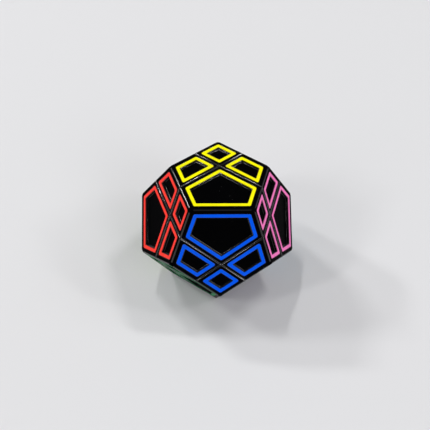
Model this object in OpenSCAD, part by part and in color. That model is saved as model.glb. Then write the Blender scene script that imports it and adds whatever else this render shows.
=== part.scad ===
// A dodecahedron puzzle whose halves turn about four slanted axes.
// Four cuts go through its middle, each square to one axis, and part the shell into
// fourteen pieces: four fixed corners screwed to the core, four free corners, and six
// centres. Below the caps each cut steps sideways, so that every piece hooks under others.
// The puzzle is drawn about its own middle and then stood on one face.

/* [Outer shape] */
// Length of one edge of the dodecahedron
edge_length = 31; // [29:0.5:38]
// How far each outer edge is planed back towards the middle
edge_flat = 0.12; // [0.05:0.01:0.3]
// How far each outer tip is planed back towards the middle
tip_flat = 0.45; // [0.4:0.05:1.2]
// How far the edges along the seams are planed back
seam_bevel = 0.25; // [0.1:0.05:0.4]
// Thickness of the walls of the hollow caps
cap_wall = 1.7; // [1.2:0.1:2.2]

/* [Running gaps] */
// Gap between two pieces that slide on each other
slide_gap = 0.3; // [0.2:0.05:0.4]
// Gap around a fixed corner's screw
screw_play = 0.08; // [0.02:0.01:0.1]
// Gap between a foot's boss and the socket it is pressed into
socket_play = 0.05; // [0.02:0.01:0.1]

/* [Turning surfaces] */
// Depth of the caps, from a face to the sphere they slide on
cap_depth = 7; // [6:0.25:8]
// Thickness of the flanges under the caps
flange_thickness = 4.5; // [4:0.25:5]
// Thickness of the feet under the flanges
foot_thickness = 4.5; // [4:0.25:5]
// How far the cut steps sideways under the caps, one way for flanges and back for feet
step_shift = 3.75; // [3:0.25:4.25]
// How far the studs of centres and free corners reach into their caps
stud_length = 3.5; // [2.5:0.25:4.5]

/* [Stickers] */
// Width of a sticker's coloured band
band_width = 1.8; // [1.4:0.1:2.4]
// Distance from the large and middle stickers to an outer edge
edge_margin = 2.3; // [1.6:0.1:2.8]
// Distance from the small stickers to an outer edge
small_edge_margin = 1.75; // [1.5:0.05:2.5]
// Distance from the large and small stickers to a seam
seam_margin = 1.8; // [1.2:0.1:2.4]
// Distance from the middle stickers to a seam
medium_seam_margin = 1.45; // [1.2:0.05:2.2]
// Radius of a sticker's outer corners
sticker_corner = 0.8; // [0.4:0.1:1.2]
// Thickness of a sticker, which lies flush in its tray
sticker_thickness = 0.25; // [0.2:0.05:0.4]
// Gap between a sticker and the wall of its tray
sticker_gap = 0.08; // [0.05:0.01:0.15]
// Width of the ledge between a sticker and the hollow it surrounds
ledge_width = 0.3; // [0.2:0.05:0.6]
// Depth of the hollow inside a sticker
hollow_depth = 1.4; // [0.8:0.1:2]

/* [Screws and springs] */
// Diameter of the screws' shanks
screw_d = 3; // [2.5:0.1:3.2]
// Diameter of the screw heads
head_d = 5.6; // [5:0.1:6]
// Height of the screw heads
head_height = 1.8; // [1.4:0.1:2.2]
// Width and depth of the crossed slots in the heads
slot_size = 0.8; // [0.6:0.1:1]
// Length of the crossed slots
slot_length = 3.8; // [3:0.1:4.5]
// How deep a screw goes into its arm of the core
screw_grip = 8; // [6:0.5:9]
// Thickness of the washers
washer_thickness = 0.6; // [0.4:0.1:0.8]
// Length of a spring as fitted
spring_length = 5; // [4:0.25:5.5]
// Diameter of the spring wire
wire_d = 0.6; // [0.4:0.05:0.7]
// Turns of a spring
spring_turns = 4; // [3:1:5]
// Thickness of plastic between a spring and the foot below it
spring_seat = 2; // [1.5:0.1:2.5]
// Wall around a spring's well
well_wall = 1.6; // [1.2:0.1:2]

/* [Core] */
// Diameter of the ball in the middle of the core
hub_d = 20; // [16:0.5:24]
// Diameter of the core's four arms
arm_d = 8.4; // [7:0.1:10]

/* [Hidden] */
$fn = 72;
// Straight pieces in the arc at each corner of an outline
ARC_STEPS = 3;
// How deep the bosses are rooted in the flanges
BOSS_ROOT = 1;
// How far a cut runs past what it cuts
OVERCUT = 1;
phi = (1 + sqrt(5)) / 2;

function unit(v) = v / norm(v);

// Square to the twelve faces, with the face that stands on the ground first
FACES = [for (v = [
    [0, phi, -1], [0, -phi, 1], [0, -phi, -1], [-phi, -1, 0], [phi, -1, 0], [-1, 0, -phi],
    [1, 0, -phi], [0, phi, 1], [phi, 1, 0], [-phi, 1, 0], [1, 0, phi], [-1, 0, phi]]) unit(v)];
FACE_COLOURS = [
    "white", "yellow", "#0055ff", "#ff2018", "#ff6eb4", "#00a050",
    "#5a2d91", "#ff8c1a", "#62c8ff", "#9bdc28", "#8c9096", "#f2e3b3"];
// The four turning axes, which are also where the fixed corners point
AXES = [for (v = [[1, 1, 1], [1, -1, -1], [-1, 1, -1], [-1, -1, 1]]) unit(v)];
// Where the six centres point
CENTRES = [[1, 0, 0], [-1, 0, 0], [0, 1, 0], [0, -1, 0], [0, 0, 1], [0, 0, -1]];
// The pieces that every other one of their kind is a turned copy of
FIXED = AXES[0];
FREE = -AXES[0];
CENTRE = [0, 0, 1];
CAP_COLOUR = "#141416";
FOOT_COLOUR = "#2a2a2e";
// How steeply a face's normal leans from the puzzle's own upright
STAND_TILT = 90 - atan(1 / phi);

face_distance = edge_length * sqrt(10 * (25 + 11 * sqrt(5))) / 20;
edge_distance = edge_length * (3 + sqrt(5)) / 4;
tip_distance = edge_length * sqrt(3) * phi / 2;
face_radius = edge_length / (2 * sin(36));
reach = 2 * edge_length;

cap_step = face_distance - cap_depth;
foot_step = cap_step - flange_thickness;
hollow_radius = foot_step - foot_thickness;
half_gap = slide_gap / 2;

well_floor = foot_step + spring_seat;
well_radius = head_d / 2 + slide_gap;
well_top = well_floor + spring_length + washer_thickness + head_height + 2 * slide_gap;
spring_boss = well_radius + well_wall;
// The bosses are rooted in the flanges, where a free corner's flange is the narrowest
boss_base = cap_step - half_gap - BOSS_ROOT;
plain_boss = (boss_base - half_gap) / 3 - step_shift - half_gap;
plain_boss_top = cap_step + stud_length;
neck_base = foot_step - foot_thickness / 2;
// A centre's neck keeps clear of the steps on either side of it
centre_neck = (neck_base * sqrt(1 / 3) - step_shift) / sqrt(2 / 3) - slide_gap;
washer_base = well_floor + slide_gap + spring_length;
arm_end = hollow_radius - slide_gap;
screw_tip = arm_end - screw_grip;
spring_radius = well_radius - slide_gap - wire_d;
cap_skin = hollow_depth + cap_wall;

module aim(v) {
    rotate([0, acos(v.z / norm(v)), atan2(v.y, v.x)])
        children();
}

module stand() {
    translate([0, 0, face_distance])
        rotate([-STAND_TILT, 0, 0])
            children();
}

// Everything up to a distance from the middle, along v
module slab(v, distance) {
    aim(v)
        translate([-reach, -reach, distance - 2 * reach])
            cube(2 * reach);
}

// ---- Which faces and cuts bound a piece that points along v ----

// A centre's large faces lean 31.7 degrees from where it points, a corner's faces 37.4,
// and a centre's small faces 58.3: these bounds lie above each
LARGE_LEAN = 35;
MEDIUM_LEAN = 45;
SMALL_LEAN = 60;
// The axis of a cut that passes beside a piece, or across a face, leans more than this
CUT_LEAN = 50;

function lean(a, b) = acos(min(1, a * b));
function own_faces(v) = [for (f = FACES) if (lean(f, v) < SMALL_LEAN) f];
// Axes of the cuts beside the piece, each turned to point to the piece's side
function own_cuts(v) = [for (d = AXES) let (own = d * sign(d * v)) if (lean(own, v) > CUT_LEAN) own];
// 1 for a cut's axis that points the way it does in AXES, -1 for one that is turned
function side_of(d) = sign(d.x * d.y * d.z);
// Each face of the piece with each cut that crosses it
function own_seams(v) = [for (f = own_faces(v), d = own_cuts(v)) if (lean(f, d) > CUT_LEAN) [f, d]];
// Directions of the outer edges and tips that the piece's own faces share
function own_edges(fs) = [
    for (i = [0:len(fs) - 1], j = [0:len(fs) - 1])
        if (i < j && fs[i] * fs[j] > 0) unit(fs[i] + fs[j])];
function own_tips(fs) = [
    for (i = [0:len(fs) - 1], j = [0:len(fs) - 1], k = [0:len(fs) - 1])
        if (i < j && j < k && fs[i] * fs[j] > 0 && fs[j] * fs[k] > 0 && fs[i] * fs[k] > 0)
            unit(fs[i] + fs[j] + fs[k])];

// ---- The four outlines on a face, drawn about the face's middle ----

function corner(k) = face_radius * [cos(72 * k), sin(72 * k)];
function middle(k) = (corner(k) + corner(k + 1)) / 2;
// Where the face's two cuts cross
crossing = [face_radius * cos(72), 0];
LARGE = [corner(2), corner(3), middle(3), crossing, middle(1)];
SMALL = [crossing, middle(4), corner(0), middle(0)];
MEDIUMS = [[crossing, middle(0), corner(1), middle(1)], [crossing, middle(3), corner(4), middle(4)]];

function cross2(a, b) = a.x * b.y - a.y * b.x;
// Distance from the side of an outline between two of its corners to the sticker in it
function side_margin(pts, a, b) =
    a == crossing || b == crossing
        ? (pts == LARGE || pts == SMALL ? seam_margin : medium_seam_margin)
        : (pts == SMALL ? small_edge_margin : edge_margin);
// Where two lines meet, each through a point and along a direction
function meet(p, a, q, b) = p + a * cross2(q - p, b) / cross2(a, b);
function left_of(a) = [-a.y, a.x] / norm(a);
// An outline moved inwards from its edges and seams by their margins and an extra
function inset(pts, extra) = [
    for (i = [0:len(pts) - 1])
        let (
            before = pts[(i + len(pts) - 1) % len(pts)],
            here = pts[i],
            after = pts[(i + 1) % len(pts)],
            a = here - before,
            b = after - here)
        meet(
            before + left_of(a) * (side_margin(pts, before, here) + extra), a,
            here + left_of(b) * (side_margin(pts, here, after) + extra), b)];

// An outline with each corner rounded by a short arc
function rounded(pts, r) = [
    for (i = [0:len(pts) - 1])
        let (
            a = unit(pts[(i + len(pts) - 1) % len(pts)] - pts[i]),
            b = unit(pts[(i + 1) % len(pts)] - pts[i]),
            half = acos(a * b) / 2,
            mid = pts[i] + unit(a + b) * r / sin(half),
            start = atan2(-left_of(-a).y, -left_of(-a).x))
        for (k = [0:ARC_STEPS])
            mid + r * [cos(start + (180 - 2 * half) * k / ARC_STEPS),
                       sin(start + (180 - 2 * half) * k / ARC_STEPS)]];

function shapes_of(v, f) =
    lean(f, v) < LARGE_LEAN ? [LARGE] :
    lean(f, v) < MEDIUM_LEAN ? [for (m = MEDIUMS) if (points_to(m, f, v)) m] :
    [SMALL];
// A face's direction from its large outline to its small one: the way its lesser part points,
// brought into the face
function face_u(f) =
    let (e = [for (c = f) c == 0 || abs(c) > norm(f) / sqrt(2) ? 0 : sign(c)])
    unit(e - (e * f) * f);
function points_to(m, f, v) = m[2].y * (cross(f, face_u(f)) * v) > 0;

module on_face(f) {
    u = face_u(f);
    w = cross(f, u);
    multmatrix([
        [u.x, w.x, f.x, f.x * face_distance],
        [u.y, w.y, f.y, f.y * face_distance],
        [u.z, w.z, f.z, f.z * face_distance],
        [0, 0, 0, 1]])
        children();
}

// A recess with a rounded outline, open at the face
module recess(pts, r, depth) {
    translate([0, 0, -depth])
        linear_extrude(height = depth + OVERCUT)
            polygon(rounded(pts, r));
}

// ---- Caps ----

// The part of the dodecahedron between the piece's own faces and cuts, moved in by skin
module wedge(v, skin, wall) {
    intersection() {
        intersection_for (f = own_faces(v))
            slab(f, face_distance - skin);
        intersection_for (d = own_cuts(v))
            slab(-d, -half_gap - wall);
    }
}

// The wedge with its outer edges, tips and seam edges planed off
module planed_wedge(v) {
    fs = own_faces(v);
    intersection() {
        wedge(v, 0, 0);
        intersection_for (e = own_edges(fs))
            slab(e, edge_distance - edge_flat);
        intersection_for (t = own_tips(fs))
            slab(t, tip_distance - tip_flat);
        intersection_for (fd = own_seams(v))
            slab(unit(fd[0] - fd[1]), (face_distance - half_gap) / norm(fd[0] - fd[1]) - seam_bevel);
    }
}

module cap(v, boss_radius, boss_top) {
    difference() {
        planed_wedge(v);
        // the hollow inside, around a post that holds the foot's boss
        difference() {
            wedge(v, cap_skin, cap_wall);
            aim(v)
                cylinder(h = reach, r = boss_radius + cap_wall);
        }
        aim(v)
            sphere(r = cap_step + half_gap);
        aim(v)
            cylinder(h = boss_top, r = boss_radius + socket_play);
        for (f = own_faces(v))
            for (pts = shapes_of(v, f))
                on_face(f) {
                    recess(inset(pts, 0), sticker_corner, sticker_thickness);
                    recess(inset(pts, band_width + ledge_width), sticker_corner / 2, hollow_depth);
                }
    }
}

function face_index(f) = [for (i = [0:len(FACES) - 1]) if (FACES[i] == f) i][0];

module stickers(v) {
    for (f = own_faces(v))
        for (pts = shapes_of(v, f))
            color(FACE_COLOURS[face_index(f)])
                on_face(f)
                    translate([0, 0, -sticker_thickness])
                        linear_extrude(height = sticker_thickness)
                            difference() {
                                polygon(rounded(inset(pts, sticker_gap), sticker_corner));
                                polygon(rounded(inset(pts, band_width), sticker_corner / 2));
                            }
}

// ---- Flanges, feet and bosses ----

// The piece's share of the ball between two spheres, where every cut has moved along its
// axis by shift: a piece on the near side of the cut loses as much as one beyond it gains
module layer(v, shift, inner, outer) {
    difference() {
        intersection() {
            aim(v)
                sphere(r = outer);
            intersection_for (d = own_cuts(v))
                slab(-d, -half_gap - shift * side_of(d));
        }
        aim(v)
            sphere(r = inner);
    }
}

module flange(v, inner) {
    layer(v, step_shift, inner, cap_step - half_gap);
}

module foot(v, outer) {
    layer(v, -step_shift, hollow_radius, outer);
}

// A stud that stands on the flange and fills the cap's socket
module boss(v, r, top) {
    aim(v)
        translate([0, 0, boss_base])
            cylinder(h = top - boss_base, r = r);
}

// Half turns that bring the first fixed corner, or the first free one, to the place of each
CORNER_TURNS = [[0, 0, 0], [180, 0, 0], [0, 180, 0], [0, 0, 180]];

module at_corner(i) {
    stand()
        rotate(CORNER_TURNS[i - 1])
            children();
}

// Brings the centre that points along +Z to the place of any other
module at_centre(i) {
    v = CENTRES[i - 1];
    thirds = v.x != 0 ? 1 : v.y != 0 ? 2 : 0;
    stand()
        rotate(a = 120 * thirds, v = [1, 1, 1])
            rotate([v * [1, 1, 1] < 0 ? 180 : 0, 0, 0])
                children();
}

module fixed_corner_cap(i) {
    color(CAP_COLOUR)
        at_corner(i)
            cap(FIXED, spring_boss, well_top + well_wall);
}

// The neck under the flange is the foot's own outline, carried up into the flange
module fixed_corner_base(i) {
    color(FOOT_COLOUR)
        at_corner(i)
            difference() {
                union() {
                    flange(FIXED, foot_step + half_gap);
                    foot(FIXED, foot_step + spring_seat / 2);
                    boss(FIXED, spring_boss, well_top + well_wall);
                }
                aim(FIXED) {
                    translate([0, 0, well_floor])
                        cylinder(h = reach, r = well_radius);
                    cylinder(h = well_floor + OVERCUT, r = screw_d / 2 + screw_play);
                }
            }
}

module free_corner_cap(i) {
    color(CAP_COLOUR)
        at_corner(i)
            cap(FREE, plain_boss, plain_boss_top);
}

// The flange is carried down into the foot, because a free corner's flange is the narrower
module free_corner_foot(i) {
    color(FOOT_COLOUR)
        at_corner(i)
            union() {
                flange(FREE, neck_base);
                foot(FREE, foot_step - half_gap);
                boss(FREE, plain_boss, plain_boss_top);
            }
}

module centre_cap(i) {
    color(CAP_COLOUR)
        at_centre(i)
            cap(CENTRE, plain_boss, plain_boss_top);
}

module centre_foot(i) {
    color(FOOT_COLOUR)
        at_centre(i)
            union() {
                flange(CENTRE, foot_step + half_gap);
                foot(CENTRE, foot_step - half_gap);
                translate([0, 0, neck_base])
                    cylinder(h = 2 * (foot_step - neck_base), r = centre_neck);
                boss(CENTRE, plain_boss, plain_boss_top);
            }
}

module sticker_set(v) {
    stand()
        stickers(v);
}

// ---- Core, screws, washers and springs ----

module core() {
    color("#c9c9c4")
        stand()
            difference() {
                union() {
                    sphere(r = hub_d / 2);
                    intersection() {
                        sphere(r = arm_end);
                        for (v = AXES)
                            aim(v)
                                cylinder(h = reach, r = arm_d / 2);
                    }
                }
                for (v = AXES)
                    aim(v)
                        translate([0, 0, screw_tip])
                            cylinder(h = reach, r = screw_d / 2);
            }
}

module screw() {
    head_base = washer_base + washer_thickness;
    translate([0, 0, screw_tip])
        cylinder(h = head_base - screw_tip, d = screw_d);
    difference() {
        translate([0, 0, head_base])
            cylinder(h = head_height, d = head_d);
        for (turn = [0, 90])
            rotate([0, 0, turn])
                translate([-slot_length / 2, -slot_size / 2, head_base + head_height - slot_size])
                    cube([slot_length, slot_size, 2 * slot_size]);
    }
}

module washer() {
    translate([0, 0, washer_base])
        difference() {
            cylinder(h = washer_thickness, d = head_d);
            translate([0, 0, -OVERCUT])
                cylinder(h = washer_thickness + 2 * OVERCUT, d = screw_d + 2 * screw_play);
        }
}

WIRE_SIDES = 8;
RINGS_PER_TURN = 10;

// A wire wound round the screw, as one closed tube
module spring() {
    rings = spring_turns * RINGS_PER_TURN;
    rise = spring_length - wire_d;
    points = [
        for (i = [0:rings], k = [0:WIRE_SIDES - 1])
            let (
                turn = 360 * i / RINGS_PER_TURN,
                round = 360 * k / WIRE_SIDES,
                r = spring_radius + wire_d / 2 * cos(round))
            [r * cos(turn), r * sin(turn), rise * i / rings + wire_d / 2 * sin(round)]];
    sides = [
        for (i = [0:rings - 1], k = [0:WIRE_SIDES - 1])
            let (
                a = i * WIRE_SIDES + k,
                b = i * WIRE_SIDES + (k + 1) % WIRE_SIDES)
            [a, a + WIRE_SIDES, b + WIRE_SIDES, b]];
    ends = [
        [for (k = [0:WIRE_SIDES - 1]) k],
        [for (k = [0:WIRE_SIDES - 1]) (rings + 1) * WIRE_SIDES - 1 - k]];
    translate([0, 0, well_floor + slide_gap + wire_d / 2])
        polyhedron(points = points, faces = concat(sides, ends));
}

module on_every_axis() {
    stand()
        for (v = AXES)
            aim(v)
                children();
}

module screws() {
    color("#b8bcc2")
        on_every_axis()
            screw();
}

module washers() {
    color("#d0d2d6")
        on_every_axis()
            washer();
}

module springs() {
    color("#9da2a9")
        on_every_axis()
            spring();
}

core();
screws();
washers();
springs();
for (i = [1:4]) {
    fixed_corner_cap(i);
    fixed_corner_base(i);
    sticker_set(AXES[i - 1]);
    free_corner_cap(i);
    free_corner_foot(i);
    sticker_set(-AXES[i - 1]);
}
for (i = [1:6]) {
    centre_cap(i);
    centre_foot(i);
    sticker_set(CENTRES[i - 1]);
}
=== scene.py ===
# %% [markdown]
# # A black dodecahedron puzzle with hollow colour stickers
# The puzzle has twelve faces and fourteen outer pieces: eight corners and six centres. Four cuts
# go through its middle, and each half turns against the other. Two cuts cross on every face, so a
# face is parted into one large area, two middle ones and a small one. Each area has a
# frame-shaped sticker in a shallow tray, and inside the frame the black plastic drops away into a
# pocket.
#
# The CAD frame brings every piece at its real size. This lesson dresses it: rounded black caps
# with real pockets, stickers with softened edges, and the plastic, vinyl and steel that they are
# made of.

# %% Load the frame
import math

import bmesh
import bpy
from mathutils import Matrix, Vector


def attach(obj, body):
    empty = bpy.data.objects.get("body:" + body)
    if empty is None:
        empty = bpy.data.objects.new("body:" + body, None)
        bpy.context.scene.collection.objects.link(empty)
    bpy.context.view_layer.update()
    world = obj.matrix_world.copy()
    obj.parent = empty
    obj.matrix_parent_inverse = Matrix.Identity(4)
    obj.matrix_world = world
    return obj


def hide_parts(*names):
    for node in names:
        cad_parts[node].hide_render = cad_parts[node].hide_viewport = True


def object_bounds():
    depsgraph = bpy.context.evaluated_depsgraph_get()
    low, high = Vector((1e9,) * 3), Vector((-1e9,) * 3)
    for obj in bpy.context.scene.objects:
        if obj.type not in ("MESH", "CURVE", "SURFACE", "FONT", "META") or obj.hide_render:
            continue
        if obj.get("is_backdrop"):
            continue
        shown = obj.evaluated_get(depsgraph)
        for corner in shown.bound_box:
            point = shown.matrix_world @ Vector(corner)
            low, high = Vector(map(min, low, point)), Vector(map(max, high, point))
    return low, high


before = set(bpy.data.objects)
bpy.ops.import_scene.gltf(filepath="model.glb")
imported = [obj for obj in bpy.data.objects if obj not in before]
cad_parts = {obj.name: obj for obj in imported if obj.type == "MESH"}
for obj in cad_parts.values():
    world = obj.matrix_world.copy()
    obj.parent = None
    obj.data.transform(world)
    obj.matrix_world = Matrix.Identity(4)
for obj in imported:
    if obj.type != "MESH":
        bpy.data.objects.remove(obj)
cad_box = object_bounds()

# %% [markdown]
# ## Sizes
# A dodecahedron is known once one length is known. Its height between two opposite faces comes
# from the frame, and the edge, the tips and the places of the seams all follow from that height.
# The other sizes are those of the stickers, their trays and the rounded edges, in metres.

# %% Sizes of the puzzle
MM = 0.001
PHI = (1 + math.sqrt(5)) / 2
face_distance = (cad_box[1][2] - cad_box[0][2]) / 2
edge_length = face_distance * 20 / math.sqrt(10 * (25 + 11 * math.sqrt(5)))
tip_distance = edge_length * math.sqrt(3) * PHI / 2
face_inradius = edge_length / (2 * math.tan(math.radians(36)))
# Half the gap between two pieces that slide on each other
half_gap = 0.15 * MM
print("height", round(2 * face_distance / MM, 2), "mm, edge", round(edge_length / MM, 2), "mm")

# %% Directions of the faces, the turning axes and the pieces
FACES = {
    "white": (0, PHI, -1), "yellow": (0, -PHI, 1), "blue": (0, -PHI, -1), "red": (-PHI, -1, 0),
    "pink": (PHI, -1, 0), "green": (-1, 0, -PHI), "purple": (1, 0, -PHI), "orange": (0, PHI, 1),
    "sky": (PHI, 1, 0), "lime": (-PHI, 1, 0), "grey": (1, 0, PHI), "cream": (-1, 0, PHI),
}
FACES = {colour: Vector(normal).normalized() for colour, normal in FACES.items()}
AXES = [Vector(v).normalized() for v in ((1, 1, 1), (1, -1, -1), (-1, 1, -1), (-1, -1, 1))]
PIECES = {f"fixed_corner_{i + 1}": axis for i, axis in enumerate(AXES)}
PIECES.update({f"free_corner_{i + 1}": -axis for i, axis in enumerate(AXES)})
for i, v in enumerate(((1, 0, 0), (-1, 0, 0), (0, 1, 0), (0, -1, 0), (0, 0, 1), (0, 0, -1))):
    PIECES[f"centre_{i + 1}"] = Vector(v)
# The puzzle is drawn about its middle and then stood on its white face
stand_tilt = math.pi / 2 - math.atan(1 / PHI)
STAND = Matrix.Translation((0, 0, face_distance)) @ Matrix.Rotation(-stand_tilt, 4, "X")
print("pieces:", ", ".join(PIECES))

# %% [markdown]
# ## The camera
# The camera stands in front of the puzzle and above it, and looks at its middle. It is turned a
# few degrees about its own line of sight, which makes the puzzle lean a little in the picture. A
# long lens keeps the far edges nearly as long as the near ones.

# %% Place the camera
CAMERA_AZIMUTH = math.radians(5.7)
CAMERA_ELEVATION = math.radians(49.9)
CAMERA_ROLL = math.radians(4.09)
CAMERA_DISTANCE = 0.3544
# The length of the lens, in millimetres, and how far the picture is moved, as a share of its width
LENS = 55.0
SHIFT = (-0.0052, 0.0162)

middle = Vector((0, 0, face_distance))
looking = Vector((
    math.sin(CAMERA_AZIMUTH) * math.cos(CAMERA_ELEVATION),
    math.cos(CAMERA_AZIMUTH) * math.cos(CAMERA_ELEVATION),
    -math.sin(CAMERA_ELEVATION)))
camera_data = bpy.data.cameras.new("camera")
camera_data.lens = LENS
camera_data.shift_x, camera_data.shift_y = SHIFT
camera = bpy.data.objects.new("camera", camera_data)
camera.matrix_world = (
    Matrix.Translation(middle - looking * CAMERA_DISTANCE)
    @ looking.to_track_quat("-Z", "Y").to_matrix().to_4x4()
    @ Matrix.Rotation(CAMERA_ROLL, 4, "Z"))
bpy.context.scene.collection.objects.link(camera)
bpy.context.scene.camera = camera
print("camera at", [round(x, 3) for x in camera.matrix_world.translation])

# %% [markdown]
# ## Floor, background and lamps
# Black plastic shows its shape only by what it mirrors. A flat face stays black as long as it
# mirrors nothing bright, and a rounded edge shows a thin line of light, because somewhere on its
# curve it mirrors a lamp. An edge can do that only for lamps that lie in one band of directions,
# so there is a long narrow lamp for each set of parallel edges, leaning along their band, and
# three larger lamps in front and on the right keep the stickers evenly lit. The floor is a plain
# pale disc. Near the horizon the surrounding is as pale as the floor, and above, where the faces
# mirror it, it is dark.

# %% Lay the floor
FLOOR_RADIUS = 1.5
FLOOR_STEPS = 128
FLOOR_COLOUR = (0.74, 0.74, 0.75, 1)
FLOOR_ROUGHNESS = 0.9

floor_mesh = bmesh.new()
bmesh.ops.create_circle(floor_mesh, cap_ends=True, segments=FLOOR_STEPS, radius=FLOOR_RADIUS)
floor_data = bpy.data.meshes.new("floor")
floor_mesh.to_mesh(floor_data)
floor_mesh.free()
floor = bpy.data.objects.new("floor", floor_data)
bpy.context.scene.collection.objects.link(floor)
floor_paint = bpy.data.materials.new("floor_paint")
floor_paint.use_nodes = True
paint = floor_paint.node_tree.nodes["Principled BSDF"]
paint.inputs["Base Color"].default_value = FLOOR_COLOUR
paint.inputs["Roughness"].default_value = FLOOR_ROUGHNESS
floor_data.materials.append(floor_paint)
floor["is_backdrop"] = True
print("floor:", 2 * FLOOR_RADIUS, "m across, with", len(floor_data.vertices), "corners")

# %% Make the surrounding: pale at the horizon, darker above
HORIZON, ZENITH = (0.7, 0.7, 0.72, 1), (0.09, 0.09, 0.095, 1)
# The pale part ends at the first height above the horizon, and the dark part begins at the second
HORIZON_TOP, SKY_START = math.radians(12), math.radians(28)
# A Mix node has sockets for every kind of value. These are the places of those for colours.
MIX_FROM, MIX_TO, MIX_RESULT = 6, 7, 2

world = bpy.data.worlds.new("studio")
world.use_nodes = True
bpy.context.scene.world = world
tree = world.node_tree
way, split = tree.nodes.new("ShaderNodeTexCoord"), tree.nodes.new("ShaderNodeSeparateXYZ")
tree.links.new(way.outputs["Generated"], split.inputs[0])
height = tree.nodes.new("ShaderNodeMapRange")
height.interpolation_type = "SMOOTHSTEP"
height.inputs["From Min"].default_value = math.sin(HORIZON_TOP)
height.inputs["From Max"].default_value = math.sin(SKY_START)
tree.links.new(split.outputs["Z"], height.inputs["Value"])
sky = tree.nodes.new("ShaderNodeMix")
sky.data_type = "RGBA"
sky.inputs[MIX_FROM].default_value = HORIZON
sky.inputs[MIX_TO].default_value = ZENITH
tree.links.new(height.outputs["Result"], sky.inputs["Factor"])
tree.links.new(sky.outputs[MIX_RESULT], tree.nodes["Background"].inputs["Color"])
print("surrounding: brightness", HORIZON[0], "at the horizon and", ZENITH[0], "above")

# %% Hang the lamps
LAMP_DISTANCE = 4.0


def lamp(name, azimuth, elevation, width, length, lean, power):
    """A lamp aimed at the puzzle. Azimuth 0 is in front of it and 90 on its right, in degrees.

    The lamp stands upright on its short side. To someone who looks from it at the puzzle, a lean
    in degrees turns its top to the left.
    """
    turn, rise = math.radians(azimuth), math.radians(elevation)
    away = Vector((
        math.sin(turn) * math.cos(rise), -math.cos(turn) * math.cos(rise), math.sin(rise)))
    data = bpy.data.lights.new(name, "AREA")
    data.shape = "RECTANGLE"
    data.size, data.size_y = width, length
    data.energy = power
    light = bpy.data.objects.new(name, data)
    light.matrix_world = (
        Matrix.Translation(middle + away * LAMP_DISTANCE)
        @ away.to_track_quat("Z", "Y").to_matrix().to_4x4()
        @ Matrix.Rotation(math.radians(lean), 4, "Z"))
    bpy.context.scene.collection.objects.link(light)


lamp("left", azimuth=-64, elevation=38, width=0.2, length=0.9, lean=14, power=24)
lamp("left_side", azimuth=-107, elevation=38, width=0.22, length=0.6, lean=-67, power=28)
lamp("left_back", azimuth=-129, elevation=42, width=0.22, length=0.6, lean=49, power=33)
lamp("back", azimuth=-142, elevation=67, width=0.18, length=0.8, lean=-50, power=27)
lamp("right_back", azimuth=120, elevation=61, width=0.18, length=0.8, lean=-65, power=28)
lamp("right_side", azimuth=77, elevation=41.5, width=0.26, length=0.7, lean=-26, power=15)
lamp("front_left", azimuth=-48, elevation=30, width=1.0, length=1.0, lean=0, power=7)
lamp("front_right", azimuth=35, elevation=36, width=1.7, length=1.7, lean=0, power=29)
lamp("right", azimuth=95, elevation=45, width=1.3, length=1.3, lean=0, power=10)

# %% Show colours as they are written
bpy.context.scene.view_settings.view_transform = "Standard"

# %% [markdown]
# ## Cutting a block with planes
# Every outer piece is what is left of a block after flat cuts: one for each face it has, and one
# for each seam beside it. `bisect_plane` does such a cut and throws the far side away, and
# `contextual_create` closes the open rim with one flat face. That gives clean polygons, which
# round well, where a cut with the Boolean modifier would leave stray triangles.

# %% Which faces and seams a piece has
# A piece's own faces lean less than this from where it points
SMALL_LEAN = math.radians(60)
# The axis of a cut beside a piece leans more than this, and that of a cut over a face as well
CUT_LEAN = math.radians(50)


def own_faces(v):
    """The faces of the piece that points along v."""
    return [f for f in FACES.values() if f.angle(v) < SMALL_LEAN]


def own_cuts(v):
    """The axes of the cuts beside the piece, each turned to point to the piece's side."""
    turned = [d if d.dot(v) > 0 else -d for d in AXES]
    return [d for d in turned if d.angle(v) > CUT_LEAN]


print("faces of a corner:", len(own_faces(AXES[0])))
print("faces of a centre:", len(own_faces(Vector((0, 0, 1)))))

# %% Cut with a plane
# What lies closer to a plane than this counts as lying in it
IN_PLANE = 1e-4 * MM


def everything(bm):
    return bm.verts[:] + bm.edges[:] + bm.faces[:]


def bisect(bm, point, normal):
    """Removes what lies beyond a plane, and returns the edges along the cut."""
    cut = bmesh.ops.bisect_plane(
        bm, geom=everything(bm), dist=IN_PLANE, plane_co=point, plane_no=normal, clear_outer=True)
    return [g for g in cut["geom_cut"] if isinstance(g, bmesh.types.BMEdge)]


def cut_off(bm, normal, distance):
    """Removes what lies beyond a plane, and closes the cut."""
    rim = bisect(bm, normal * distance, normal)
    if rim:
        bmesh.ops.contextual_create(bm, geom=rim)


def count(what, bm):
    """Prints the size of a trial mesh, and throws it away."""
    print(what, "has", len(bm.verts), "corners and", len(bm.faces), "faces")
    bm.free()


trial = bmesh.new()
bmesh.ops.create_cube(trial, size=2)
cut_off(trial, Vector((1, 1, 1)).normalized(), 1)
count("a cube without one corner", trial)

# %% Cut a block
BLOCK_SIZE = 4 * face_distance


def block(v, skin, wall):
    """What lies between the piece's faces and cuts, moved in from them by skin and wall."""
    bm = bmesh.new()
    bmesh.ops.create_cube(bm, size=BLOCK_SIZE)
    for face in own_faces(v):
        cut_off(bm, face, face_distance - skin)
    for cut in own_cuts(v):
        cut_off(bm, -cut, -half_gap - wall)
    return bm


count("a corner's block", block(AXES[0], skin=0, wall=0))

# %% [markdown]
# ## Rounding the block
# A moulded edge is never sharp. The outer edges of the caps are rounded by about half a
# millimetre, and the ones along the seams by less. `bevel` rounds a chosen set of edges, so the
# block is bevelled twice. Each outer tip is planed off first, because three rounded edges that
# meet in one point would leave it standing out.

# %% Round some edges
# Two directions with a dot product above this are taken as the same
SAME_WAY = 0.9999


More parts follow.
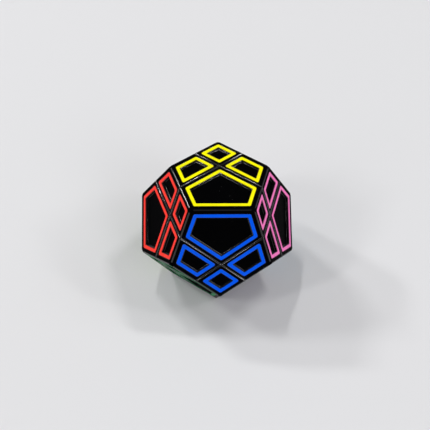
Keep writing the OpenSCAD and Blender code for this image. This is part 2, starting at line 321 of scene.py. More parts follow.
def bevel(bm, edges, offset, steps):
    bmesh.ops.bevel(
        bm, geom=edges, offset=offset, offset_type="OFFSET", affect="EDGES", segments=steps,
        profile=0.5, material=-1, clamp_overlap=True)


def faces_along(face, directions):
    return any(face.normal.dot(d) > SAME_WAY for d in directions)


trial = bmesh.new()
bmesh.ops.create_cube(trial, size=2)
bevel(trial, trial.edges[:], 0.1, 2)
count("a cube with rounded edges", trial)

# %% Round a block
OUTER_ROUND, OUTER_STEPS = 0.45 * MM, 4
SEAM_ROUND, SEAM_STEPS = 0.28 * MM, 3
# How far a tip is planed off, and how near to the tips' distance a corner has to lie to be one
TIP_FLAT, TIP_REACH = 0.5 * MM, 0.01 * MM


def rounded_block(v):
    bm = block(v, skin=0, wall=0)
    tips = [c.co.normalized() for c in bm.verts if c.co.length > tip_distance - TIP_REACH]
    for tip in tips:
        cut_off(bm, tip, tip_distance - TIP_FLAT)
    bm.normal_update()
    outside = own_faces(v) + tips
    outer = [e for e in bm.edges if all(faces_along(f, outside) for f in e.link_faces)]
    bevel(bm, outer, OUTER_ROUND, OUTER_STEPS)
    bm.normal_update()
    inside = [-d for d in own_cuts(v)]
    seams = [e for e in bm.edges if sum(faces_along(f, inside) for f in e.link_faces) == 1]
    bevel(bm, seams, SEAM_ROUND, SEAM_STEPS)
    return bm


count("a rounded corner", rounded_block(AXES[0]))

# %% [markdown]
# ## Outlines on a face
# Stickers, trays and pockets all have the outline of their area, moved in by some distance. A
# flat sheet on the face is trimmed by one line for each edge and seam, and then its corners are
# rounded. A bevel with `affect="VERTICES"` turns a corner of a flat polygon into an arc. Its
# offset is measured along the sides, so it is worked out from the radius and the corner's own
# angle.

# %% Margins round the stickers
EDGE_MARGIN, SMALL_EDGE_MARGIN = 2.3 * MM, 1.75 * MM
SEAM_MARGIN, MEDIUM_SEAM_MARGIN = 1.8 * MM, 1.45 * MM
# Large areas lean less from where their piece points than middle ones, and small ones the most
LARGE_LEAN, MEDIUM_LEAN = math.radians(35), math.radians(45)


def margins(face, v):
    """How far an area's sticker keeps from the outer edges, and from the seams."""
    if face.angle(v) < LARGE_LEAN:
        return EDGE_MARGIN, SEAM_MARGIN
    if face.angle(v) < MEDIUM_LEAN:
        return EDGE_MARGIN, MEDIUM_SEAM_MARGIN
    return SMALL_EDGE_MARGIN, SEAM_MARGIN


for piece in ("fixed_corner_1", "centre_5"):
    leans = sorted(round(math.degrees(f.angle(PIECES[piece])), 1) for f in own_faces(PIECES[piece]))
    print("the areas of", piece, "lean by", leans, "degrees")

# %% Draw an outline
SHEET_SIZE = 2 * face_inradius
CORNER_STEPS = 5
# Neighbouring faces have a dot product of 0.45, and a face with itself has 1
SAME_FACE = 0.9


def outline(face, v, extra, radius):
    """One area of a face as a flat polygon, inside its margins by extra more."""
    bm = bmesh.new()
    edge_margin, seam_margin = margins(face, v)
    lie = face.to_track_quat("Z", "Y").to_matrix().to_4x4()
    lie.translation = face * face_distance
    bmesh.ops.create_grid(bm, x_segments=1, y_segments=1, size=SHEET_SIZE, matrix=lie)

    def trim(direction, distance):
        across = (direction - direction.dot(face) * face).normalized()
        bisect(bm, face * face_distance + across * distance, across)

    for neighbour in FACES.values():
        if 0 < neighbour.dot(face) < SAME_FACE:
            trim(neighbour, face_inradius - edge_margin - extra)
    for cut in own_cuts(v):
        if face.angle(cut) > CUT_LEAN:
            to_seam = cut.dot(face) * face_distance / math.sin(face.angle(cut))
            trim(-cut, to_seam - seam_margin - extra)
    for corner in bm.verts[:]:
        a, b = (e.other_vert(corner).co - corner.co for e in corner.link_edges)
        bmesh.ops.bevel(
            bm, geom=[corner], offset=radius / math.tan(a.angle(b) / 2), offset_type="OFFSET",
            affect="VERTICES", segments=CORNER_STEPS, profile=0.5, material=-1, clamp_overlap=True)
    return bm


count("a yellow outline", outline(FACES["yellow"], PIECES["centre_4"], extra=0, radius=MM))

# %% [markdown]
# ## Two outlines joined into a ring
# A sticker is the flat ring between two outlines, and the tool that cuts its tray is a ring as
# well. Both outlines come from the same corners, so they have the same number of points, and
# `bridge_loops` joins them with clean quads.

# %% Make a ring
def add_part(whole, part, slot):
    """Adds a mesh to another, with its faces in one slot of the materials."""
    for f in part.faces:
        f.material_index = slot
    carrier = bpy.data.meshes.new("part")
    part.to_mesh(carrier)
    part.free()
    whole.from_mesh(carrier)
    bpy.data.meshes.remove(carrier)


def ring(face, v, outer_extra, inner_extra, outer_radius, inner_radius, depth):
    """A flat ring of quads at a depth under the face."""
    bm = outline(face, v, outer_extra, outer_radius)
    add_part(bm, outline(face, v, inner_extra, inner_radius), slot=0)
    bmesh.ops.delete(bm, geom=bm.faces[:], context="FACES_ONLY")
    bmesh.ops.bridge_loops(bm, edges=bm.edges[:])
    bmesh.ops.translate(bm, verts=bm.verts[:], vec=-face * depth)
    return bm


count("a ring", ring(FACES["yellow"], PIECES["centre_4"], 0, MM, MM, MM / 2, depth=0))


# %% Draw a ring out into a wall
def open_loops(bm):
    """The ring's two open loops of edges, the shorter one first."""
    left = {e for e in bm.edges if e.is_boundary}
    loops = []
    while left:
        loop, grow = [], [left.pop()]
        while grow:
            edge = grow.pop()
            loop.append(edge)
            joined = [e for corner in edge.verts for e in corner.link_edges if e in left]
            left.difference_update(joined)
            grow.extend(joined)
        loops.append(loop)
    return sorted(loops, key=lambda loop: sum(e.calc_length() for e in loop))


def draw_out(bm, loop, way):
    """Extrudes a loop of edges and closes its far end."""
    made = bmesh.ops.extrude_edge_only(bm, edges=loop)["geom"]
    corners = [g for g in made if isinstance(g, bmesh.types.BMVert)]
    bmesh.ops.translate(bm, verts=corners, vec=way)
    rim = [g for g in made if isinstance(g, bmesh.types.BMEdge) and g.is_boundary]
    return bmesh.ops.contextual_create(bm, geom=rim)["faces"]


# %% [markdown]
# ## Trays and pockets
# One stepped plug cuts both: it is wide down to the floor of the tray, and from there it is
# narrow down to the floor of the pocket. The foot of the plug is rounded, as the bottom of a
# moulded pocket is. The plug goes to a Boolean modifier, whose result is kept as the cap's own
# mesh.

# %% Make the plugs
# The width of a sticker's band, and of the ledge between the sticker and its pocket
BAND_WIDTH, LEDGE_WIDTH = 1.8 * MM, 0.3 * MM
TRAY_DEPTH, POCKET_DEPTH = 0.25 * MM, 1.4 * MM
# The radii of the corners of sticker and pocket, and of the rounding at the pocket's foot
STICKER_CORNER, POCKET_CORNER, POCKET_FILLET = 0.8 * MM, 0.4 * MM, 0.24 * MM
# The plug stands out of the face, so that it cuts it cleanly
PLUG_HEIGHT = 2 * TRAY_DEPTH


def plug(face, v):
    bm = ring(face, v, 0, BAND_WIDTH + LEDGE_WIDTH, STICKER_CORNER, POCKET_CORNER, TRAY_DEPTH)
    inner, outer = open_loops(bm)
    draw_out(bm, outer, face * PLUG_HEIGHT)
    floor_of_pocket = draw_out(bm, inner, -face * (POCKET_DEPTH - TRAY_DEPTH))
    bevel(bm, floor_of_pocket[0].edges[:], POCKET_FILLET, SEAM_STEPS)
    bmesh.ops.recalc_face_normals(bm, faces=bm.faces[:])
    return bm


count("the plug of a large area", plug(FACES["yellow"], PIECES["centre_4"]))


# %% Keep a mesh as an object, and carve it
def as_object(bm, name):
    mesh = bpy.data.meshes.new(name)
    bm.to_mesh(mesh)
    bm.free()
    made = bpy.data.objects.new(name, mesh)
    bpy.context.scene.collection.objects.link(made)
    return made


def carve(body, tool):
    """Takes the tool's shape out of the body, and removes the tool."""
    cutter = as_object(tool, "tool")
    cut = body.modifiers.new("cut", "BOOLEAN")
    cut.object = cutter
    cut.solver = "MANIFOLD"
    depsgraph = bpy.context.evaluated_depsgraph_get()
    carved = bpy.data.meshes.new_from_object(body.evaluated_get(depsgraph))
    body.modifiers.clear()
    body.data = carved
    bpy.data.objects.remove(cutter)


# %% [markdown]
# ## The inside of a cap
# A cap is a thin shell. Under it lies the ball that all the caps turn on, so its lower side is
# part of a sphere, and in its middle a post with a round socket takes the stud of the piece's
# foot.

# %% The ball and the rods that hollow a cap
# From a face down to the ball
CAP_DEPTH = 7 * MM
BALL_STEPS, POST_STEPS = 96, 48
ball_radius = face_distance - CAP_DEPTH + half_gap


def rod(v, radius, end):
    """A round rod from the puzzle's middle along v."""
    bm = bmesh.new()
    bmesh.ops.create_cone(
        bm, cap_ends=True, segments=POST_STEPS, radius1=radius, radius2=radius, depth=end,
        matrix=v.to_track_quat("Z", "Y").to_matrix().to_4x4())
    bmesh.ops.translate(bm, verts=bm.verts[:], vec=v * end / 2)
    return bm


def ball():
    bm = bmesh.new()
    bmesh.ops.create_uvsphere(
        bm, u_segments=BALL_STEPS, v_segments=BALL_STEPS // 2, radius=ball_radius)
    return bm


count("the ball", ball())

# %% Hollow out a cap
# The plastic under a face, and beside a seam or round the stud
CAP_SKIN, CAP_WALL = 3.1 * MM, 1.7 * MM
# The gap between a stud and its socket
STUD_GAP = half_gap / 3
THROUGH_ALL = 2 * face_distance


def hollow_out(cap, v, stud_radius, stud_end):
    carve(cap, ball())
    room = as_object(block(v, CAP_SKIN, CAP_WALL), "room")
    carve(room, rod(v, stud_radius + CAP_WALL, THROUGH_ALL))
    inside = bmesh.new()
    inside.from_mesh(room.data)
    bpy.data.objects.remove(room)
    carve(cap, inside)
    carve(cap, rod(v, stud_radius + STUD_GAP, stud_end))


print("the ball's radius is", round(ball_radius / MM, 2), "mm")


# %% [markdown]
# ## Softening the rims
# The cuts leave knife-sharp rims round the trays and pockets. Only the rims that stick out are
# softened, and only those near the outside, so the bevel picks edges by their angle and their
# place. The rounded strips are marked with a face attribute, so that the plastic can look rubbed
# there and its colour can be painted paler, partly as wear and partly as a painted highlight. Each
# strip gets one of three finishes: flat faces stay as moulded, the outer edges and the feet of the
# pockets are a little glossier, and the rims beside the seams are polished by the turning.

# %% Soften the rims of a cap
TRAY_RIM, POCKET_RIM, RIM_STEPS = 0.07 * MM, 0.1 * MM, 2
# Edges that turn by more than this stay sharp, unless they are softened
SHARP = math.radians(35)
# How far an edge may lie from a depth and still count as lying at it
AT_DEPTH = 0.005 * MM


def lies_at(edge, face, depth):
    return all(abs(c.co.dot(face) - face_distance + depth) < AT_DEPTH for c in edge.verts)


def sticks_out(edge):
    return edge.is_manifold and edge.calc_face_angle_signed() > SHARP


def soften_rims(bm, v):
    for depth, offset in ((0, TRAY_RIM), (TRAY_DEPTH, POCKET_RIM)):
        bm.normal_update()
        rims = [
            e for e in bm.edges
            if sticks_out(e) and any(lies_at(e, face, depth) for face in own_faces(v))]
        bevel(bm, rims, offset, RIM_STEPS)
    print("rims softened, faces now:", len(bm.faces))


# %% Sort the faces of a cap by their finish
EDGE_STRIP = "edge_strip"
MOULDED, WORN, BUFFED = 0, 1, 2
# Walls stand upright on a face, so the dot product of the two normals is below this
UPRIGHT = 0.01
# Faces nearer than this to the ball belong to the inside
INSIDE_REACH = MM


def sort_faces(bm, v):
    bm.normal_update()
    flat = own_faces(v) + [-d for d in own_cuts(v)]
    edge_strips = bm.faces.layers.float.new(EDGE_STRIP)
    for f in bm.faces:
        centre = f.calc_center_median()
        outside = centre.length > ball_radius + INSIDE_REACH
        wall = any(abs(f.normal.dot(face)) < UPRIGHT for face in own_faces(v))
        tip = centre.length > tip_distance - 2 * TIP_FLAT
        strip = outside and not wall and not tip and not faces_along(f, flat)
        f[edge_strips] = 1.0 if strip else 0.0
        depths = [face_distance - centre.dot(face) for face in own_faces(v)]
        at_edge = sum(depth < OUTER_ROUND for depth in depths) > 1
        in_pocket = min(depths) > TRAY_DEPTH + POCKET_RIM
        if strip:
            f.material_index = WORN if at_edge or in_pocket else BUFFED
        else:
            f.material_index = MOULDED
    kinds = [f.material_index for f in bm.faces]
    print("moulded, worn and buffed faces:", [kinds.count(k) for k in (MOULDED, WORN, BUFFED)])


# %% Make the three kinds of cap
# Where the first piece of each kind points
FIRST = {"fixed_corner": AXES[0], "free_corner": -AXES[0], "centre": Vector((0, 0, 1))}
# The radius of the stud that each cap sits on, and how far from the middle the stud ends
STUDS = {
    "fixed_corner": (4.7 * MM, 34.62 * MM), "free_corner": (4.84 * MM, 31.02 * MM),
    "centre": (4.84 * MM, 31.02 * MM),
}


def cap(kind, v):
    made = as_object(rounded_block(v), kind)
    for face in own_faces(v):
        carve(made, plug(face, v))
    hollow_out(made, v, *STUDS[kind])
    bm = bmesh.new()
    bm.from_mesh(made.data)
    soften_rims(bm, v)
    sort_faces(bm, v)
    made.data.materials.clear()
    bm.to_mesh(made.data)
    bm.free()
    print(kind, "cap made, with", len(made.data.polygons), "faces")
    return made


CAPS = {kind: cap(kind, v) for kind, v in FIRST.items()}

# %% [markdown]
# ## Shader groups: what the surfaces have in common
# Three effects are used by more than one material, so each is a node group. Moulded plastic has a
# fine grain that scatters its gloss. Whatever is handled gets faint smudges, dust and hair-thin
# scratches. And where the two halves slide on each other, they rub rings about the puzzle's
# middle. Each group puts out masks and heights only, and each material decides what to do with
# them.

# %% Start a group
def new_group(name, inputs, outputs):
    """A group that takes vectors and puts out numbers."""
    group = bpy.data.node_groups.new(name, "ShaderNodeTree")
    for label in inputs:
        group.interface.new_socket(label, in_out="INPUT", socket_type="NodeSocketVector")
    for label in outputs:
        group.interface.new_socket(label, in_out="OUTPUT", socket_type="NodeSocketFloat")
    return group, group.nodes.new("NodeGroupInput"), group.nodes.new("NodeGroupOutput")


# %% Helpers for node trees
def noise(tree, vector, size, detail=2.0, roughness=0.5):
    """Noise whose blobs are about size across."""
    node = tree.nodes.new("ShaderNodeTexNoise")
    node.inputs["Scale"].default_value = 1 / size
    node.inputs["Detail"].default_value = detail
    node.inputs["Roughness"].default_value = roughness
    tree.links.new(vector, node.inputs["Vector"])
    return node.outputs["Fac"]


def between(tree, value, low, high, to_low=0.0, to_high=1.0):
    """Maps a value from low..high to to_low..to_high, and no further."""
    node = tree.nodes.new("ShaderNodeMapRange")
    node.inputs["From Min"].default_value, node.inputs["From Max"].default_value = low, high
    node.inputs["To Min"].default_value, node.inputs["To Max"].default_value = to_low, to_high
    tree.links.new(value, node.inputs["Value"])
    return node.outputs["Result"]


def maths(tree, operation, a, b):
    """Joins two values by an operation such as ADD. Each is a socket or a number."""
    node = tree.nodes.new("ShaderNodeMath")
    node.operation = operation
    for i, value in enumerate((a, b)):
        if isinstance(value, (int, float)):
            node.inputs[i].default_value = value
        else:
            tree.links.new(value, node.inputs[i])
    return node.outputs[0]


def share_of(tree, mask, share):
    return maths(tree, "MULTIPLY", mask, share)


def add_shares(tree, value, *parts):
    """Adds a share of each mask to a value. A share below 0 takes it away."""
    for mask, share in parts:
        value = maths(tree, "ADD", value, share_of(tree, mask, share))
    return value


def vector_maths(tree, operation, a, b=None):
    node = tree.nodes.new("ShaderNodeVectorMath")
    node.operation = operation
    tree.links.new(a, node.inputs[0])
    if isinstance(b, Vector):
        node.inputs[1].default_value = b
    elif b is not None:
        tree.links.new(b, node.inputs[1])
    return node.outputs


def stretched(tree, vector, turn, stretch):
    """The same place, turned and squeezed along one direction, so that blobs become streaks."""
    node = tree.nodes.new("ShaderNodeMapping")
    node.inputs["Rotation"].default_value = turn
    node.inputs["Scale"].default_value = (stretch, 1, 1)
    tree.links.new(vector, node.inputs["Vector"])
    return node.outputs["Vector"]


# %% The grain of moulded plastic
# The size of the grain and of the waves under it, and how high the grain is beside the waves
GRAIN, WAVES, GRAIN_SHARE = 0.16 * MM, 2.6 * MM, 0.25
# Nearly all the values of a noise texture lie between these two
NOISE_SPAN = (0.3, 0.7)

grain_group, given, put = new_group("moulded_grain", ["Vector"], ["Height", "Gloss"])
fine = noise(grain_group, given.outputs["Vector"], GRAIN, detail=3.0)
waves = noise(grain_group, given.outputs["Vector"], WAVES, detail=1.0)
grain_group.links.new(add_shares(grain_group, waves, (fine, GRAIN_SHARE)), put.inputs["Height"])
grain_group.links.new(between(grain_group, fine, *NOISE_SPAN), put.inputs["Gloss"])
print("grain of", GRAIN / MM, "mm on waves of", WAVES / MM, "mm")

# %% What handling leaves: smudges and dust
# Each size is followed by the values of the texture between which the mark comes or goes
SMUDGE, SMUDGE_COMES = 9 * MM, (0.5, 0.72)
SPECK, SPECK_GOES = 2.2 * MM, (0.035, 0.06)

handling_group, given, put = new_group("handling", ["Vector"], ["Smudge", "Dust", "Scratch"])
place = given.outputs["Vector"]
clouds = noise(handling_group, place, SMUDGE, detail=4.0)
handling_group.links.new(between(handling_group, clouds, *SMUDGE_COMES), put.inputs["Smudge"])
specks = handling_group.nodes.new("ShaderNodeTexVoronoi")
specks.inputs["Scale"].default_value = 1 / SPECK
handling_group.links.new(place, specks.inputs["Vector"])
dust = between(handling_group, specks.outputs["Distance"], *SPECK_GOES, 1.0, 0.0)
handling_group.links.new(dust, put.inputs["Dust"])
print("smudges of", SMUDGE / MM, "mm, and one speck of dust in", SPECK / MM, "mm")

# %% What handling leaves: scratches in three directions
SCRATCH, SCRATCH_COMES, SCRATCH_STRETCH = 0.3 * MM, (0.73, 0.76), 0.04
SCRATCH_TURNS = ((0.3, 0.5, 0.2), (1.2, 0.4, 1.9), (2.2, 1.4, 0.7))

scratch = 0
for turn in SCRATCH_TURNS:
    along = stretched(handling_group, place, turn, SCRATCH_STRETCH)
    streaks = noise(handling_group, along, SCRATCH, detail=1.0)
    scratch = maths(
        handling_group, "MAXIMUM", scratch, between(handling_group, streaks, *SCRATCH_COMES))
handling_group.links.new(scratch, put.inputs["Scratch"])
print("scratches run in", len(SCRATCH_TURNS), "directions")

# %% Rings where the halves rub
# The width of a ring, the values of the noise between which it comes, and how far a surface may
# lie from a plane through the middle before the halves no longer rub on it
RING, RING_COMES, RUBS_GOES = 0.35 * MM, (0.5, 0.7), (0.3 * MM, 0.6 * MM)

rub_group, given, put = new_group("rubbed_rings", ["Vector", "Normal"], ["Rings"])
from_middle = vector_maths(rub_group, "SUBTRACT", given.outputs["Vector"], middle)[0]
far = vector_maths(rub_group, "LENGTH", from_middle)["Value"]
facing = vector_maths(rub_group, "DOT_PRODUCT", from_middle, given.outputs["Normal"])["Value"]
off_plane = maths(rub_group, "ABSOLUTE", facing, 0)
slides = between(rub_group, off_plane, *RUBS_GOES, 1.0, 0.0)
circles = rub_group.nodes.new("ShaderNodeTexNoise")
circles.noise_dimensions = "1D"
circles.inputs["Scale"].default_value = 1 / RING
circles.inputs["Detail"].default_value = 3.0
rub_group.links.new(far, circles.inputs["W"])
shown = between(rub_group, circles.outputs["Fac"], *RING_COMES)
rub_group.links.new(maths(rub_group, "MULTIPLY", slides, shown), put.inputs["Rings"])
print("shader groups:", [g.name for g in bpy.data.node_groups])

# %% [markdown]
# ## Black moulded plastic
# The caps are glossy black. A black surface has almost no colour of its own, so its look is made
# by its roughness: smudges and grain dull the mirror image of the lamps, rounded edges are rubbed
# smoother and their colour is a shade paler, partly as wear and partly as a painted highlight, and
# a little dust lies on what faces up.

# %% Helpers for materials
def start_material(name):
    """A new material with its tree, its shader, and the place and normal on the object."""
    material = bpy.data.materials.new(name)
    material.use_nodes = True
    tree = material.node_tree
    given = tree.nodes.new("ShaderNodeTexCoord").outputs
    return material, tree, tree.nodes["Principled BSDF"], given["Object"], given["Normal"]


def use_group(tree, group, vector, normal=None):
    node = tree.nodes.new("ShaderNodeGroup")
    node.node_tree = group
    tree.links.new(vector, node.inputs["Vector"])
    if normal is not None:
        tree.links.new(normal, node.inputs["Normal"])
    return node.outputs


def blend_colour(tree, mask, colour, other):
    """Goes from colour to other as the mask goes from 0 to 1."""
    node = tree.nodes.new("ShaderNodeMix")
    node.data_type = "RGBA"
    tree.links.new(mask, node.inputs["Factor"])
    for socket, value in ((node.inputs[MIX_FROM], colour), (node.inputs[MIX_TO], other)):
        if isinstance(value, tuple):
            socket.default_value = (*value, 1)
        else:
            tree.links.new(value, socket)
    return node.outputs[MIX_RESULT]


def edge_mask(tree):
    """Is 1 on the rounded strips that were marked on the mesh, and 0 elsewhere."""
    node = tree.nodes.new("ShaderNodeAttribute")
    node.attribute_name = EDGE_STRIP
    return node.outputs["Fac"]


def add_bump(tree, shader, height, depth):
    """Raises the surface by depth where the height is 1."""
    bump = tree.nodes.new("ShaderNodeBump")
    bump.inputs["Strength"].default_value = 1.0
    bump.inputs["Distance"].default_value = depth
    tree.links.new(height, bump.inputs["Height"])
    tree.links.new(bump.outputs["Normal"], shader.inputs["Normal"])


# %% How the masks change moulded plastic
# How much of the rubbed colour the rings show, and of the dust's colour its specks
RINGS_SHOW, DUST_SHOWS = 0.6, 0.5
# What smudges, grain and scratches add to the roughness, and what wear takes from it
SMUDGE_DULLS, GRAIN_DULLS, SCRATCH_DULLS, WEAR_DULLS = 0.07, 0.05, 0.15, -0.08
# How deep scratches and rings are, beside the waves of the surface
SCRATCH_RAISES, RINGS_RAISE = -0.5, -0.6
# Dust lies on what faces up, from the first upward part of the normal to the second
FACES_UP = (0.2, 0.9)
# Edges are worn and painted paler everywhere, but where there is no smudge only by this much
LEAST_WORN = 0.4


def moulded_colour(tree, worn_and_sheen, rings, lying, colours):
    colour, rubbed_and_sheen, dusty = colours
    # The edge strips take the paler colour: partly wear, partly a painted highlight
    base = blend_colour(tree, worn_and_sheen, colour, rubbed_and_sheen)
    base = blend_colour(tree, share_of(tree, rings, RINGS_SHOW), base, rubbed_and_sheen)
    return blend_colour(tree, share_of(tree, lying, DUST_SHOWS), base, dusty)


# %% Build a moulded plastic
def moulded_plastic(name, colour, rubbed_and_sheen, dusty, roughness, specular, grain_depth, ior=1.5):
    material, tree, shader, place, normal = start_material(name)
    grain = use_group(tree, grain_group, place)
    marks = use_group(tree, handling_group, place)
    rings = use_group(tree, rub_group, place, normal)["Rings"]
    upward = tree.nodes.new("ShaderNodeSeparateXYZ")
    tree.links.new(normal, upward.inputs[0])
    lying = maths(tree, "MULTIPLY", marks["Dust"], between(tree, upward.outputs["Z"], *FACES_UP))
    wear = between(tree, marks["Smudge"], 0.0, 1.0, LEAST_WORN, 1.0)
    # The mask of the paler edges: partly wear, partly a painted highlight
    worn_and_sheen = maths(tree, "MULTIPLY", edge_mask(tree), wear)
    base = moulded_colour(tree, worn_and_sheen, rings, lying, (colour, rubbed_and_sheen, dusty))
    tree.links.new(base, shader.inputs["Base Color"])
    dull = add_shares(
        tree, roughness, (marks["Smudge"], SMUDGE_DULLS), (grain["Gloss"], GRAIN_DULLS),
        (marks["Scratch"], SCRATCH_DULLS), (worn_and_sheen, WEAR_DULLS))
    tree.links.new(dull, shader.inputs["Roughness"])
    shader.inputs["Specular IOR Level"].default_value = specular
    shader.inputs["IOR"].default_value = ior
    height = add_shares(
        tree, grain["Height"], (marks["Scratch"], SCRATCH_RAISES), (rings, RINGS_RAISE))
    add_bump(tree, shader, height, grain_depth)
    return material


# %% Make the plastics
DUST = (0.2, 0.2, 0.19)
SMOOTH_EDGE, MOULD_FACE, MATT_FACE = 0.0003 * MM, 0.004 * MM, 0.012 * MM

# The rubbed colours are paler than the plastic: on the rings that is wear, and on the edge strips
# it is partly wear and partly a painted highlight
black_plastic = moulded_plastic(
    "black_plastic", colour=(0.0012, 0.0012, 0.0015), rubbed_and_sheen=(0.008, 0.008, 0.009), dusty=DUST,
    roughness=0.24, specular=0.003, grain_depth=MOULD_FACE)
worn_plastic = moulded_plastic(
    "worn_plastic", colour=(0.0015, 0.0015, 0.0018), rubbed_and_sheen=(0.004, 0.004, 0.0045), dusty=DUST,
    roughness=0.13, specular=0.6, grain_depth=SMOOTH_EDGE)
buffed_plastic = moulded_plastic(
    "buffed_plastic", colour=(0.0015, 0.0015, 0.0018), rubbed_and_sheen=(0.004, 0.004, 0.0045), dusty=DUST,
    roughness=0.12, specular=1.0, grain_depth=SMOOTH_EDGE, ior=1.7)
foot_plastic = moulded_plastic(
    "foot_plastic", colour=(0.022, 0.022, 0.026), rubbed_and_sheen=(0.07, 0.07, 0.075),
    dusty=(0.1, 0.1, 0.1), roughness=0.38, specular=0.4, grain_depth=MATT_FACE)
core_plastic = moulded_plastic(
    "core_plastic", colour=(0.55, 0.55, 0.52), rubbed_and_sheen=(0.7, 0.7, 0.67),
    dusty=(0.4, 0.4, 0.38), roughness=0.42, specular=0.5, grain_depth=MATT_FACE)
PLASTICS = (black_plastic, worn_plastic, buffed_plastic, foot_plastic, core_plastic)
print("plastics:", [plastic.name for plastic in PLASTICS])

# %% [markdown]
# ## Sticker film
# The stickers are plain vinyl film, one colour to a face. The colour is nearly even: it thins a
# little in patches, and the film follows the plastic with the faintest waves, so its gloss
# wanders. The cut edge of the film is a darker shade of the same colour.

# %% Colours of the films
# The green is a dark green, and its value is set a little darker still as painted shade
FILM_COLOURS = {
    "white": (0.86, 0.86, 0.85), "yellow": (0.97, 0.91, 0.003), "blue": (0.0, 0.115, 1.0),
    "red": (1.0, 0.045, 0.03), "pink": (1.0, 0.21, 0.57), "green": (0.0, 0.24, 0.07),
    "purple": (0.1, 0.025, 0.28), "orange": (1.0, 0.26, 0.02), "sky": (0.12, 0.56, 1.0),
    "lime": (0.33, 0.72, 0.02), "grey": (0.26, 0.29, 0.31), "cream": (0.88, 0.76, 0.45),
}
# What is left of the colour where the film is thin, with a trace of grey, and at its cut edge
THIN, THIN_GREY, CUT_EDGE = 0.88, 0.004, 0.6
print("every face has its film:", FILM_COLOURS.keys() == FACES.keys())

# %% Make the twelve films
FILM_WAVE, FILM_PATCH, FILM_RELIEF = 1.4 * MM, 6 * MM, 0.01 * MM
PATCH_COMES, FILM_ROUGHNESS, FILM_SPECULAR = (0.45, 0.75), (0.3, 0.4), 0.04
FILM_SMUDGE_DULLS, FILM_SCRATCH_RAISES = 0.1, -0.3


def film(name, colour):
    material, tree, shader, place, _ = start_material(f"{name}_film")
    marks = use_group(tree, handling_group, place)
    thin = tuple(c * THIN + THIN_GREY for c in colour)
    edge = tuple(c * CUT_EDGE for c in colour)
    patches = between(tree, noise(tree, place, FILM_PATCH, detail=3.0), *PATCH_COMES)
    base = blend_colour(tree, patches, colour, thin)
    base = blend_colour(tree, edge_mask(tree), base, edge)
    tree.links.new(base, shader.inputs["Base Color"])
    waves = noise(tree, place, FILM_WAVE)
    dull = between(tree, waves, *NOISE_SPAN, *FILM_ROUGHNESS)
    dull = add_shares(tree, dull, (marks["Smudge"], FILM_SMUDGE_DULLS))
    tree.links.new(dull, shader.inputs["Roughness"])
    shader.inputs["Specular IOR Level"].default_value = FILM_SPECULAR
    height = add_shares(tree, waves, (marks["Scratch"], FILM_SCRATCH_RAISES))
    add_bump(tree, shader, height, FILM_RELIEF)
    return material


FILMS = {name: film(name, colour) for name, colour in FILM_COLOURS.items()}
print("films:", ", ".join(FILMS))

# %% [markdown]
# ## Steel
# The screws and washers are zinc-plated and the springs are drawn wire. Both are metal, so their
# colour is in their mirror image, and fine lines along the turning direction soften it.

# %% Make the steels
STEEL_RELIEF = 0.004 * MM


def steel(name, colour, stained, roughness, line):
    """Steel whose roughness wanders between two values, in lines of about the given width."""
    material, tree, shader, place, _ = start_material(name)
    marks = use_group(tree, handling_group, place)
    lines = noise(tree, place, line, detail=3.0)
    base = blend_colour(tree, marks["Smudge"], colour, stained)
    tree.links.new(base, shader.inputs["Base Color"])
    tree.links.new(between(tree, lines, *NOISE_SPAN, *roughness), shader.inputs["Roughness"])
    shader.inputs["Metallic"].default_value = 1.0
    add_bump(tree, shader, lines, STEEL_RELIEF)
    return material


plated_steel = steel(
    "plated_steel", colour=(0.62, 0.63, 0.65), stained=(0.48, 0.48, 0.47),
    roughness=(0.19, 0.36), line=0.2 * MM)
spring_steel = steel(
    "spring_steel", colour=(0.42, 0.43, 0.45), stained=(0.3, 0.29, 0.28),
    roughness=(0.27, 0.44), line=0.12 * MM)
print("steels:", plated_steel.name, "and", spring_steel.name)

# %% [markdown]
# ## Setting the caps in place
# The three caps were made where the first piece of each kind lies. The others are turned copies:
# half turns about X, Y and Z take one corner to the other three, and third turns about a corner
# take one centre to the other five. Last, the whole puzzle is stood on its white face.

# %% Turns that take the first piece of a kind to the others
NO_TURN = Matrix.Identity(4)
HALF_TURNS = [Matrix.Rotation(math.pi, 4, axis) for axis in "XYZ"]
THIRD_TURN = math.radians(120)


def kind_of(piece):
    return piece.rsplit("_", 1)[0]


def turn_to(piece):
    """The turn that takes the first piece of its kind to this one."""
    if kind_of(piece) != "centre":
        number = int(piece.rsplit("_", 1)[1])
        return [NO_TURN, *HALF_TURNS][number - 1]
    v = PIECES[piece]
    thirds = 1 if v.x else 2 if v.y else 0
    flip = HALF_TURNS[0] if sum(v) < 0 else NO_TURN
    return Matrix.Rotation(THIRD_TURN * thirds, 4, AXES[0]) @ flip


turned = [turn_to(piece) @ FIRST[kind_of(piece)] for piece in PIECES]
fitting = sum(t.dot(v) > SAME_WAY for t, v in zip(turned, PIECES.values()))
print(fitting, "of", len(PIECES), "pieces are turned to their places")

# %% Finish a piece: smooth shading that keeps flat faces flat
# How much a large face counts beside a small one when the shading is worked out. The most is 100.
LARGE_FACES_LEAD = 100


def finish(made, body, slot, *nodes):
    for polygon in made.data.polygons:
        polygon.use_smooth = True
    made.data.set_sharp_from_angle(angle=SHARP)
    weights = made.modifiers.new("flat_faces", "WEIGHTED_NORMAL")
    weights.keep_sharp = True
    weights.weight = LARGE_FACES_LEAD
    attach(made, body)
    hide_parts(*nodes)


# %% Place the caps
for piece in PIECES:
    mesh = CAPS[kind_of(piece)].data.copy()
    mesh.transform(STAND @ turn_to(piece))
    for material in (black_plastic, worn_plastic, buffed_plastic):
        mesh.materials.append(material)
    placed = bpy.data.objects.new(f"{piece}_shell", mesh)
    bpy.context.scene.collection.objects.link(placed)
    finish(placed, piece, "cap_plastic", f"{piece}_cap")
for model in CAPS.values():
    bpy.data.objects.remove(model)
print("caps placed:", len(PIECES))

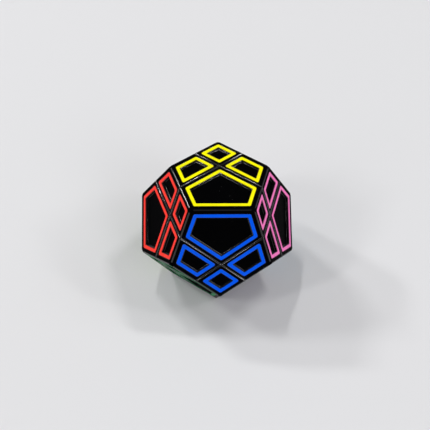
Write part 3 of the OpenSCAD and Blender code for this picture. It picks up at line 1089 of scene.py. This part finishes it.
# %% [markdown]
# ## The stickers
# A sticker is a ring drawn out downwards to the thickness of the film, with its upper edges
# softened by a hair. All the stickers of one piece are one object, and each keeps the colour of
# its face.

# %% Make a sticker
# The gap round the film in its tray, and the rounding of its upper edges
FILM_GAP, FILM_EDGE = 0.08 * MM, 0.05 * MM
# The film's top is what faces the same way as the face does, up to this dot product
TOP = 0.999


def sticker(face, v):
    bm = ring(face, v, FILM_GAP, BAND_WIDTH, STICKER_CORNER, POCKET_CORNER, 0)
    bmesh.ops.recalc_face_normals(bm, faces=bm.faces[:])
    made = bmesh.ops.extrude_face_region(bm, geom=bm.faces[:], use_keep_orig=True)["geom"]
    below = [g for g in made if isinstance(g, bmesh.types.BMVert)]
    bmesh.ops.translate(bm, verts=below, vec=-face * TRAY_DEPTH)
    bmesh.ops.recalc_face_normals(bm, faces=bm.faces[:])
    rims = [e for e in bm.edges if lies_at(e, face, 0) and e.calc_face_angle(0) > SHARP]
    bevel(bm, rims, FILM_EDGE, RIM_STEPS)
    bm.normal_update()
    edge_strips = bm.faces.layers.float.new(EDGE_STRIP)
    for f in bm.faces:
        f[edge_strips] = 0.0 if f.normal.dot(face) > TOP else 1.0
    return bm


count("a large yellow sticker", sticker(FACES["yellow"], PIECES["centre_4"]))

# %% Place the stickers
for piece, v in PIECES.items():
    whole = bmesh.new()
    colours = [colour for colour, face in FACES.items() if face.angle(v) < SMALL_LEAN]
    for slot, colour in enumerate(colours):
        add_part(whole, sticker(FACES[colour], v), slot)
    bmesh.ops.transform(whole, matrix=STAND, verts=whole.verts[:])
    placed = as_object(whole, f"{piece}_films")
    for colour in colours:
        placed.data.materials.append(FILMS[colour])
    finish(placed, piece, "sticker_film", f"{piece}_stickers")
print("stickers placed:", sum(len(own_faces(v)) for v in PIECES.values()))

# %% [markdown]
# ## The pieces inside
# The feet, the core and its screws keep the meshes that the CAD frame brings, and get their
# finish.

# %% Paint the inner pieces
def paint_node(node, material):
    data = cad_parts[node].data
    data.materials.clear()
    data.materials.append(material)


for piece in PIECES:
    paint_node(f"{piece}_base" if piece.startswith("fixed") else f"{piece}_foot", foot_plastic)
paint_node("core", core_plastic)
paint_node("screws", plated_steel)
paint_node("washers", plated_steel)
paint_node("springs", spring_steel)
print("inner nodes painted:", len(PIECES) + 4)

# %% [markdown]
# ## The size of the dressed puzzle
# The boxes of the dressed puzzle and of the CAD frame are printed side by side, in millimetres.

# %% Write the two boxes
visual_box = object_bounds()
for axis, low, high, cad_low, cad_high in zip("XYZ", *visual_box, *cad_box):
    sides = [round(side / MM, 3) for side in (high - low, cad_high - cad_low)]
    print(axis, "visual", sides[0], "mm, CAD", sides[1], "mm")
